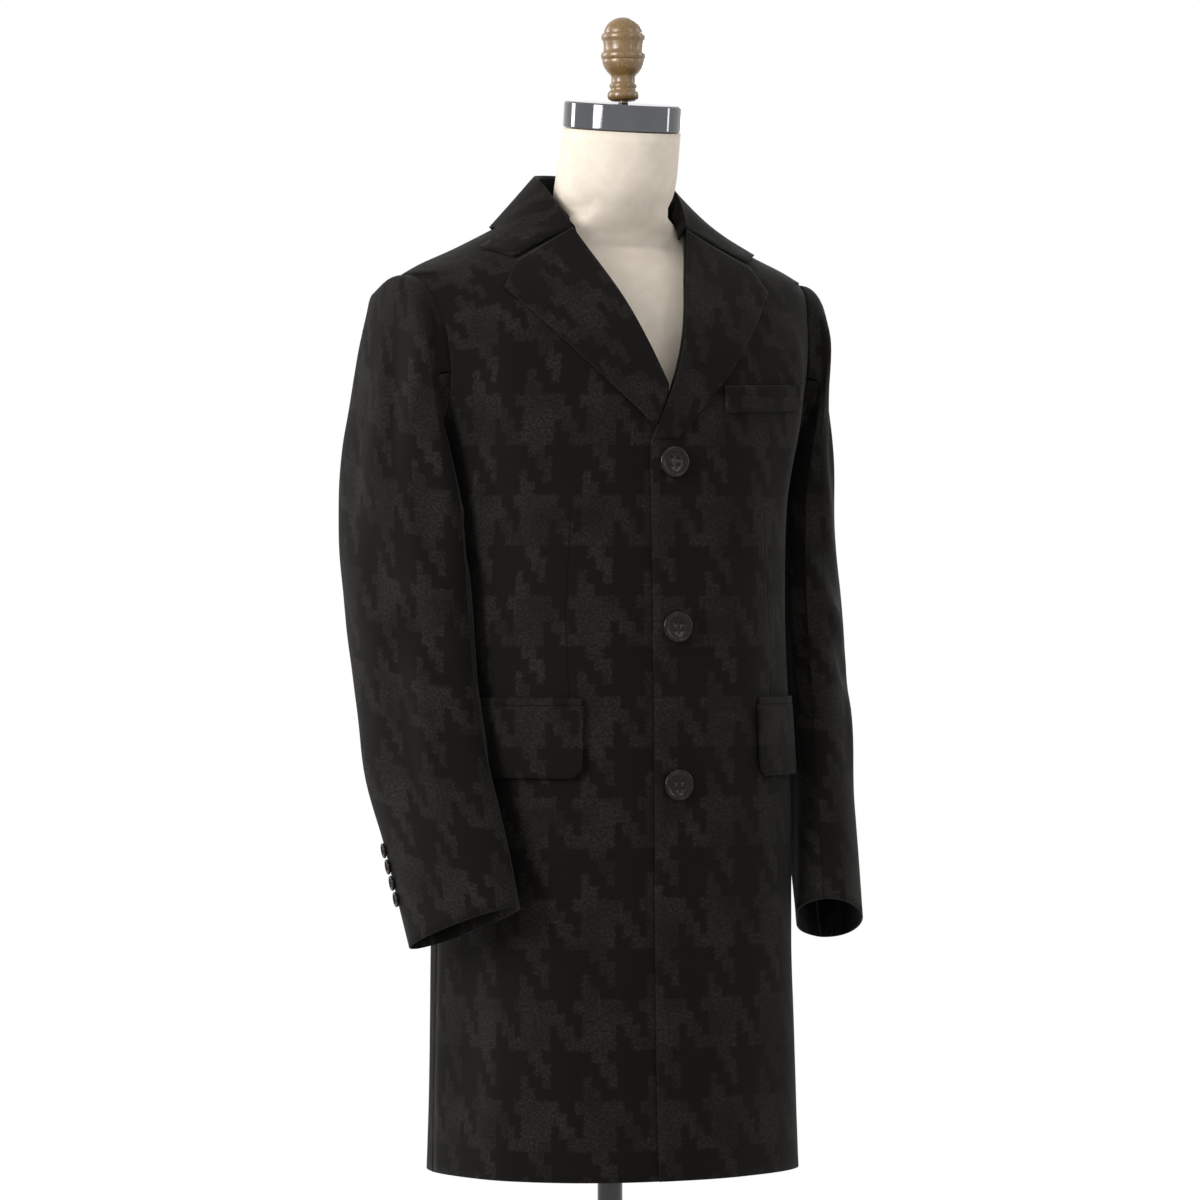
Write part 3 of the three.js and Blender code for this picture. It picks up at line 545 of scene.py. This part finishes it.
# The sleeves: a top and an under piece each of the same wool, set into the
# armhole with soft fullness and bent a little forward at the elbow. The
# allowances of the armhole and side seams lie flat inside the body.
SLEEVE_LINE = (
    # height, across, forward (negative), length from the cuff, half depth
    (0.706, 0.198, -0.090, 0.000, 0.065), (0.770, 0.203, -0.066, 0.068, 0.069),
    (0.850, 0.210, -0.033, 0.155, 0.074), (0.930, 0.214, -0.005, 0.240, 0.081),
    (1.001, 0.214, 0.012, 0.313, 0.087), (1.070, 0.213, 0.023, 0.383, 0.089),
    (1.129, 0.213, 0.028, 0.442, 0.089), (1.205, 0.216, 0.031, 0.518, 0.088),
    (1.346, 0.212, 0.018, 0.660, 0.080),
)
SLEEVE_FLAT = 0.5                # half width of a sleeve over its half depth
SLEEVE_GIRTH = 0.8               # metres of cloth to a radian, in half depths
SLEEVE_SWAY = (0.005, 23)
SLEEVE_PHASE = (0.02, 0.024)     # where the weave begins, round the sleeve and along it
SLEEVE_SLOPE = -0.25             # how the weave climbs from the front to the back
TOP_START, UNDER_START = math.radians(-90), math.radians(90)     # where their charts begin
ROUND_STEPS = 720
# angle in degrees from the front outwards, height, length, width, lean, depth
RIGHT_FOLDS = (
    (16, 1.299, 0.055, 0.012, 4, 0.0051), (31, 1.205, 0.090, 0.013, -3, 0.0063),
    (47, 1.225, 0.120, 0.015, 2, -0.0069), (68, 1.190, 0.130, 0.017, -4, 0.0051),
    (6, 1.110, 0.075, 0.014, 18, -0.0048), (12, 1.035, 0.055, 0.012, 62, 0.0063),
    (20, 0.990, 0.055, 0.012, 66, -0.0060), (28, 0.945, 0.055, 0.012, 60, 0.0051),
    (92, 1.030, 0.100, 0.018, 12, 0.0051), (60, 0.930, 0.090, 0.016, -14, -0.0054),
    (38, 0.862, 0.070, 0.014, 10, 0.0045), (130, 1.130, 0.130, 0.020, -5, 0.0057),
    (152, 0.960, 0.100, 0.018, 12, -0.0054), (112, 0.850, 0.070, 0.016, -8, 0.0045),
)
LEFT_FOLDS = (
    (13, 1.290, 0.060, 0.013, -3, 0.0045), (35, 1.215, 0.095, 0.014, 4, -0.0060),
    (53, 1.200, 0.110, 0.015, -2, 0.0063), (76, 1.215, 0.130, 0.018, 5, -0.0054),
    (4, 1.120, 0.070, 0.013, -16, 0.0045), (10, 1.050, 0.055, 0.012, -58, -0.0054),
    (18, 1.000, 0.055, 0.012, -64, 0.0063), (30, 0.955, 0.060, 0.012, -58, -0.0051),
    (84, 1.000, 0.110, 0.018, -10, 0.0054), (58, 0.900, 0.080, 0.016, 12, 0.0048),
    (100, 0.870, 0.080, 0.016, 9, -0.0051), (128, 1.150, 0.120, 0.020, 6, -0.0051),
    (148, 1.000, 0.110, 0.018, -10, 0.0057), (120, 1.060, 0.080, 0.018, 20, 0.0039),
)


def sleeve_place(p):
    """The angle round the sleeve at p, its half depth there, and the way from its middle."""
    side = 1 if p.x > 0 else -1
    middle = Vector((side * along_table(SLEEVE_LINE, p.z, 1), along_table(SLEEVE_LINE, p.z, 2), p.z))
    half = along_table(SLEEVE_LINE, p.z, 4)
    out = p - middle
    return math.atan2(side * out.x / (half * SLEEVE_FLAT), -out.y / half), half, out


def sleeve_fold(p):
    """How far the sleeve's folds move the cloth at p."""
    angle, half, out = sleeve_place(p)
    folds = LEFT_FOLDS if p.x > 0 else RIGHT_FOLDS
    depth = fold_depth(folds, angle, half * SLEEVE_GIRTH, p.z, SLEEVE_SWAY, upright=True)
    return out.normalized() * depth


round_length = [0.0]             # the way round a sleeve of half depth 1, up to each step
for step in range(ROUND_STEPS):
    turn = 2 * math.pi * (step + 0.5) / ROUND_STEPS
    stride = math.hypot(SLEEVE_FLAT * math.cos(turn), math.sin(turn)) * 2 * math.pi / ROUND_STEPS
    round_length.append(round_length[-1] + stride)


def sleeve_chart(p, start):
    """The sleeve laid flat: the length round it, from the angle start, and along it."""
    angle, half, out = sleeve_place(p)
    at = ((angle - start) % (2 * math.pi) + start) % (2 * math.pi)
    whole = round_length[int(at / (2 * math.pi) * ROUND_STEPS) % ROUND_STEPS]
    first = round_length[int((start % (2 * math.pi)) / (2 * math.pi) * ROUND_STEPS)]
    if whole < first:
        whole += round_length[-1]
    side = 1 if p.x > 0 else -1
    return (side * (whole - first) * half + side * SLEEVE_PHASE[0],
            along_table(SLEEVE_LINE, p.z, 3) + out.y * SLEEVE_SLOPE + SLEEVE_PHASE[1])


SEAM_ROWS = (-0.012, 0.004, 0.013)       # across the seam, outwards from the armhole
SEAM_DEPTH = (0.0008, 0.0018)            # its two faces, inside the body's own
SEAM_STEPS = 72
SEAM_SLOPE = 0.8                 # the steepest that a strip leans, across to along
SIDE_SEAM = (0.012, 0.011, 0.462, 1.160)  # place front to back, half width, lowest, highest
WITHIN, WITHIN_REACH = 0.1, 0.3  # where a look outwards starts, and how far it goes


def seam_strip(name, coating, sign, rings, closed):
    """A strip of the cloth against the inside of the body, from rows of points on it."""
    work = bmesh.new()
    loops = []
    for ring in rings:
        faces = [[work.verts.new((sign * (x - depth), y, z)) for x, y, z in ring]
                 for depth in SEAM_DEPTH]
        loops.append(faces[0] + faces[1][::-1])
    for one, two in zip(loops, loops[1:] + (loops[:1] if closed else [])):
        for k in range(len(one)):
            n = (k + 1) % len(one)
            work.faces.new((one[k], one[n], two[n], two[k]))
    if not closed:
        work.faces.new(loops[0])
        work.faces.new(loops[-1])
    bmesh.ops.recalc_face_normals(work, faces=work.faces)
    mesh = as_mesh(work, name)
    chart_cloth(mesh, body_uv)
    return placed(name, mesh, coating, None)


def body_inside(side):
    """A function that finds how far out the body's inner face is at a place y and z."""
    points, faces = [], []
    for panel in ("front_", "back_"):
        mesh = bpy.data.objects["cloth_" + panel + side].data
        faces += [[len(points) + v for v in face.vertices] for face in mesh.polygons]
        points += [vertex.co for vertex in mesh.vertices]
    body = BVHTree.FromPolygons(points, faces)
    sign = 1 if side == "left" else -1

    def reach(y, z):
        start = Vector((WITHIN * sign, y, z))
        hit = body.ray_cast(start, Vector((sign, 0, 0)), WITHIN_REACH)[0]
        return abs(hit.x) if hit else None
    return reach


def armhole_rings(inside):
    """Rows of three points across the armhole seam, all the way round it."""
    for step in range(SEAM_STEPS):
        turn = 2 * math.pi * step / SEAM_STEPS
        across, up = -math.sin(turn), math.cos(turn)
        reach = ARMHOLE_REACH[0] if across < 0 else ARMHOLE_REACH[1]
        spots = [(ARMHOLE_MIDDLE[0] + across * (reach + row),
                  ARMHOLE_MIDDLE[1] + up * (ARMHOLE_REACH[2] + row)) for row in SEAM_ROWS]
        near, far = inside(*spots[1]), inside(*spots[2])
        if near is None or far is None:
            continue
        slope = (far - near) / (SEAM_ROWS[2] - SEAM_ROWS[1])
        slope = min(max(slope, -SEAM_SLOPE), SEAM_SLOPE)
        out = (near + slope * (SEAM_ROWS[0] - SEAM_ROWS[1]), near, far)
        yield [(x, y, z) for x, (y, z) in zip(out, spots)]


def side_rings(inside):
    """Rows of three points across the side seam, from the hem to the armhole."""
    middle, half, low, high = SIDE_SEAM
    for step in range(SEAM_STEPS + 1):
        z = low + (high - low) * step / SEAM_STEPS
        ends = [inside(middle - half, z), inside(middle + half, z)]
        if None in ends:
            continue
        yield [(ends[0], middle - half, z), (min(ends), middle, z), (ends[1], middle + half, z)]


sleeve_coating = wool("sleeve_coating")
for side in ("left", "right"):
    sign, inside = (1 if side == "left" else -1), body_inside(side)
    seam = seam_strip("armhole_seam_" + side, sleeve_coating, sign, list(armhole_rings(inside)), True)
    seam_strip("side_seam_" + side, sleeve_coating, sign, list(side_rings(inside)), False)
    top = cloth_piece("top_sleeve_" + side, sleeve_coating, sleeve_fold,
                      lambda p: sleeve_chart(p, TOP_START))
    under = cloth_piece("under_sleeve_" + side, sleeve_coating, sleeve_fold,
                        lambda p: sleeve_chart(p, UNDER_START))


# The pockets: a welt on the wearer's left breast, and at each hip a jetted
# opening under a square flap that stands a little off the coat.
FLAP_CREASE = 30
pocket_coating = wool("pocket_coating")
for side in ("left", "right"):
    flap = cloth_piece("flap_" + side, pocket_coating, body_fold, body_uv, FLAP_CREASE)
    jet = cloth_piece("jet_" + side, pocket_coating, body_fold, body_uv)
welt = cloth_piece("breast_welt", pocket_coating, body_fold, body_uv)


# The buttons: polished dark horn, turned with a raised rim round a dished
# middle, drilled with four holes and sewn through them with black thread.
BUTTON_ROUND = 64
FRONT_RIM = (
    # radius and height as shares of the button's radius, from the back to the dish
    (0.00, -0.135), (0.80, -0.135), (0.93, -0.095), (1.00, -0.010), (0.985, 0.070),
    (0.93, 0.125), (0.86, 0.138), (0.79, 0.115), (0.73, 0.055), (0.66, 0.020), (0.52, 0.005),
)
HOLE_OFF = 0.215                 # from the middle to a hole, each way
HOLE_RADIUS = 0.085
HOLE_RINGS = ((1.25, 0.0), (1.0, -0.012), (1.0, -0.09))  # width in hole radii, and depth
DISH_STEPS = 6                   # from the middle to the dish's rim, between two holes
BUTTON_MERGE = 0.0005
BUTTON_SHARP = 48
SIDEWAYS = 0.3                   # how much a place across counts in which way is outwards
FRONT_THICK, CUFF_THICK = 1.0, 1.35      # against the profile, which is a front button's
FRONT_ARCH, CUFF_ARCH = 0.075, 0.08      # how high the thread stands over the holes
STRAND_APART = 0.028             # from the middle of a bar to each of its two strands
STRAND_RADIUS = 0.024
STRAND_SINK = 0.05               # how deep its ends lie in the holes
BAR_STEPS, STRAND_ROUND = 8, 8


def turned(profile, steps):
    """A bmesh of a profile of radius and height, turned round the upright axis."""
    work = bmesh.new()
    points = [work.verts.new((radius, 0, height)) for radius, height in profile]
    for one, two in zip(points, points[1:]):
        work.edges.new((one, two))
    bmesh.ops.spin(work, geom=work.verts[:] + work.edges[:], cent=(0, 0, 0), axis=(0, 0, 1),
                   angle=2 * math.pi, steps=steps, use_merge=True)
    return work


def button_stand(node):
    """The matrix that puts a button of radius 1, facing up, in the place of a CAD button."""
    low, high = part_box(node)
    middle = (Vector(low) + Vector(high)) / 2
    outwards = Vector((middle.x * SIDEWAYS, middle.y, 0))
    data = frame["nodes"][node].data
    facing, best = Vector(), 0.0
    for face in data.polygons:
        if face.area > best and face.normal.dot(outwards) > 0:
            best, facing = face.area, face.normal.copy()
    spots = [frame["nodes"][node].matrix_world @ v.co for v in data.vertices]
    middle = sum(spots, Vector()) / len(spots)
    reach = [(spot - middle).dot(facing) for spot in spots]
    middle += facing * (max(reach) + min(reach)) / 2
    radius = max(((spot - middle) - facing * (spot - middle).dot(facing)).length for spot in spots)
    turn = facing.to_track_quat("Z", "Y").to_matrix().to_4x4()
    return Matrix.Translation(middle) @ turn @ Matrix.Scale(radius, 4)


def drilled_quarter(work, start, floor_z):
    """A quarter of the dish, from the angle start, with a hole drilled in it."""
    dish, quarter = FRONT_RIM[-1][0], BUTTON_ROUND // 4
    middle = start + math.pi / 4
    hole = Vector((math.cos(middle), math.sin(middle))) * HOLE_OFF * math.sqrt(2)
    first = Vector((math.cos(start), math.sin(start)))
    last = Vector((-math.sin(start), math.cos(start)))
    outline = [first * dish * k / DISH_STEPS for k in range(DISH_STEPS)]
    for k in range(quarter):
        turn = start + k * math.pi / 2 / quarter
        outline.append(Vector((math.cos(turn), math.sin(turn))) * dish)
    outline += [last * dish * k / DISH_STEPS for k in range(DISH_STEPS, 0, -1)]
    rings = [[work.verts.new((q.x, q.y, floor_z)) for q in outline]]
    for width, depth in HOLE_RINGS:
        ways = [(q - hole).normalized() * (HOLE_RADIUS * width) for q in outline]
        rings.append([work.verts.new((hole.x + way.x, hole.y + way.y, floor_z + depth)) for way in ways])
    for above, below in zip(rings, rings[1:]):
        for k in range(len(outline)):
            n = (k + 1) % len(outline)
            work.faces.new((above[k], above[n], below[n], below[k]))
    work.faces.new(rings[-1])


def drilled_button(name, node, stand, thick):
    """A turned button with four holes, its height scaled by thick."""
    work = turned([(radius, height * thick) for radius, height in FRONT_RIM], BUTTON_ROUND)
    for corner in range(4):
        drilled_quarter(work, corner * math.pi / 2, FRONT_RIM[-1][1] * thick)
    bmesh.ops.remove_doubles(work, verts=work.verts, dist=BUTTON_MERGE)
    bmesh.ops.recalc_face_normals(work, faces=work.faces)
    work.transform(stand)
    mesh = as_mesh(work, name)
    smoothed(mesh, BUTTON_SHARP)
    placed(name, mesh, horn, node)


def thread_bars(name, stand, arch, crossed):
    """The thread between the holes: two bars, side by side or crossed."""
    work = bmesh.new()
    up = Vector((0, 0, 1))
    ends = ((-1, -1, 1, 1), (-1, 1, 1, -1)) if crossed else ((-1, -1, -1, 1), (1, -1, 1, 1))
    for ax, ay, bx, by in ends:
        a = Vector((ax, ay, 0)) * HOLE_OFF
        b = Vector((bx, by, 0)) * HOLE_OFF
        across = (b - a).cross(up).normalized()
        for strand in (-STRAND_APART, STRAND_APART):
            rows = []
            for k in range(BAR_STEPS + 1):
                share = k / BAR_STEPS
                rise = arch * math.sin(math.pi * share) ** 0.5 - STRAND_SINK
                point = a.lerp(b, share) + across * strand + up * rise
                turns = [2 * math.pi * j / STRAND_ROUND for j in range(STRAND_ROUND)]
                rows.append([work.verts.new(
                    point + STRAND_RADIUS * (across * math.cos(t) + up * math.sin(t))) for t in turns])
            for one, two in zip(rows, rows[1:]):
                for j in range(STRAND_ROUND):
                    n = (j + 1) % STRAND_ROUND
                    work.faces.new((one[j], one[n], two[n], two[j]))
            work.faces.new(rows[0])
            work.faces.new(rows[-1])
    bmesh.ops.recalc_face_normals(work, faces=work.faces)
    work.transform(stand)
    mesh = as_mesh(work, name)
    mesh.shade_smooth()
    placed(name, mesh, thread, None)


def sewn_button(which, node, thick, arch, crossed=False):
    """A button and the thread that holds it."""
    stand = button_stand(node)
    drilled_button("horn_" + which, node, stand, thick)
    thread_bars("thread_" + which, stand, arch, crossed)


def toned(name, settings, tones, scale, detail=2.0, rough=0.5, step=None, stretch=None):
    """A material of two tones mixed by a noise, with its tree, its shader and the noise."""
    material, shader = painted(name, settings)
    tree = Group(material.node_tree)
    where = tree.node("TexCoord").outputs["Object"]
    if stretch:
        where = tree.node("Mapping", {"Vector": where, "Scale": stretch}).outputs[0]
    grain = tree.noise(where, scale, detail, rough)[0]
    share = tree.range(grain, *step) if step else grain
    tree.link(tree.mix(share, *tones), shader.inputs["Base Color"])
    return material, tree, shader, grain


horn = toned("horn", {"Roughness": 0.20, "Specular IOR Level": 0.16},
             ((0.0035, 0.0022, 0.0016, 1), (0.0125, 0.0062, 0.0036, 1)),
             scale=260.0, detail=4.0, rough=0.65, step=(0.42, 0.70))[0]
thread = toned("thread", {"Roughness": 0.7},
               ((0.003, 0.0025, 0.0025, 1), (0.010, 0.009, 0.008, 1)), scale=2200.0)[0]
for number in (1, 2, 3):
    sewn_button(f"front_{number}", f"front_button_{number}", FRONT_THICK, FRONT_ARCH, number == 1)
for side in ("left", "right"):
    for number in (1, 2, 3, 4):
        sewn_button(f"cuff_{side}_{number}", f"cuff_button_{side}_{number}", CUFF_THICK, CUFF_ARCH)


# The form's body and neck: padded card covered with a cream linen canvas drawn
# tight, seamed at the sides and back, with its foot open over the pole.
THREADS = 420.0                  # how closely the wave runs that draws the canvas
CANVAS_SHADE = (0.400, 0.345, 0.280, 1)
TORSO_SHARP = 55
linen, tree, shader = toned(
    "linen", {"Roughness": 0.85, "Specular IOR Level": 0.2},
    ((0.465, 0.410, 0.342, 1), (0.502, 0.450, 0.385, 1)),
    scale=60.0, detail=4.0, rough=0.6, step=(0.35, 0.70))[:3]
tone = shader.inputs["Base Color"].links[0].from_socket
where = tree.node("TexCoord").outputs["Object"]
canvas = tree.node("TexWave", {"Vector": where, "Scale": THREADS, "Distortion": 1.2, "Detail": 2.0},
                   bands_direction="Z").outputs["Fac"]
shaded = tree.mix(tree.math("MULTIPLY", canvas, 0.10), tone, CANVAS_SHADE)
tree.link(shaded, shader.inputs["Base Color"])
bumped(tree, shader, canvas, strength=0.15, distance=0.0003)
torso = refined("form_torso", 1)
smoothed(torso, TORSO_SHARP)
placed("linen_torso", torso, linen, "form_torso")


# The neck cap: a spun steel cap, chromed and polished, pressed over the linen
# at the top of the neck.
RIM_FROM = 50                    # degrees, from which an edge of the metal is rounded
METAL_SHARP = 20
CAP_RIM, STAND_RIM = 0.0016, 0.0015


def rounded(mesh, width):
    """Rounds the sharp edges of a metal piece."""
    work = bmesh.new()
    work.from_mesh(mesh)
    rims = [edge for edge in work.edges
            if len(edge.link_faces) == 2 and edge.calc_face_angle(0) > math.radians(RIM_FROM)]
    bmesh.ops.bevel(work, geom=rims, offset=width, offset_type="OFFSET", segments=3, profile=0.5,
                    affect="EDGES", clamp_overlap=True, material=-1)
    work.to_mesh(mesh)
    work.free()
    smoothed(mesh, METAL_SHARP)


chrome = toned("chrome", {"Metallic": 1.0, "Roughness": 0.07},
               ((0.105, 0.108, 0.114, 1), (0.135, 0.139, 0.146, 1)), scale=35.0)[0]
cap = refined("neck_cap", 0)
rounded(cap, CAP_RIM)
placed("chrome_cap", cap, chrome, "neck_cap")


# The finial: turned hardwood in two ringed bulbs over a waisted foot, stained
# and varnished to a golden brown.
FINIAL_PROFILE = (
    # radius and height above the cap, in millimetres
    (0.0, 0.0), (5.0, 0.0), (5.0, 2.4), (12.0, 2.6), (15.0, 4.4), (16.0, 7.6), (15.2, 11.0), (12.9, 12.6),
    (12.7, 14.6), (13.8, 16.8), (13.6, 18.8), (12.1, 20.0), (11.8, 22.0), (11.9, 26.0), (12.8, 28.2),
    (15.6, 31.0), (18.6, 35.0), (20.3, 39.0), (21.0, 42.4), (20.6, 43.3), (21.6, 44.2), (22.3, 46.2),
    (22.2, 48.6), (21.3, 50.2), (20.1, 51.0), (19.6, 54.0), (19.6, 58.0), (20.2, 61.0), (20.3, 62.2),
    (21.4, 63.2), (22.0, 65.2), (21.8, 67.6), (20.8, 69.2), (19.4, 69.9), (18.9, 73.0), (17.0, 77.0),
    (14.0, 80.6), (9.6, 83.6), (4.8, 85.2), (0.0, 85.7),
)
MM = 0.001
FINIAL_ROUND = 72
FINIAL_SHARP = 50
wood, tree, shader, grain = toned(
    "turned_wood", {"Roughness": 0.34, "Coat Weight": 0.25, "Coat Roughness": 0.22},
    ((0.090, 0.049, 0.015, 1), (0.155, 0.090, 0.030, 1)),
    scale=620.0, detail=5.0, rough=0.6, step=(0.35, 0.68), stretch=(1.0, 1.0, 0.18))
bumped(tree, shader, grain, strength=0.12, distance=0.0004)
low, high = (Vector(corner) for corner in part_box("finial"))
foot = Vector(((low.x + high.x) / 2, (low.y + high.y) / 2, high.z - FINIAL_PROFILE[-1][1] * MM))
work = turned([(radius * MM, height * MM) for radius, height in FINIAL_PROFILE], FINIAL_ROUND)
bmesh.ops.remove_doubles(work, verts=work.verts, dist=MERGE)
bmesh.ops.recalc_face_normals(work, faces=work.faces)
work.transform(Matrix.Translation(foot))
finial = as_mesh(work, "wood_finial")
smoothed(finial, FINIAL_SHARP)
placed("wood_finial", finial, wood, "finial")


# The stand: a steel pole that carries the form from inside, fixed upright in a
# heavy round steel foot, both enamelled black.
enamel, tree, shader, peel = toned(
    "enamel", {"Roughness": 0.32}, ((0.012, 0.012, 0.013, 1), (0.018, 0.018, 0.019, 1)), scale=300.0)
bumped(tree, shader, peel, strength=0.06, distance=0.0003)
for node in ("pole", "stand_base"):
    steel = refined(node, 0)
    rounded(steel, STAND_RIM)
    placed("steel_" + node, steel, enamel, node)
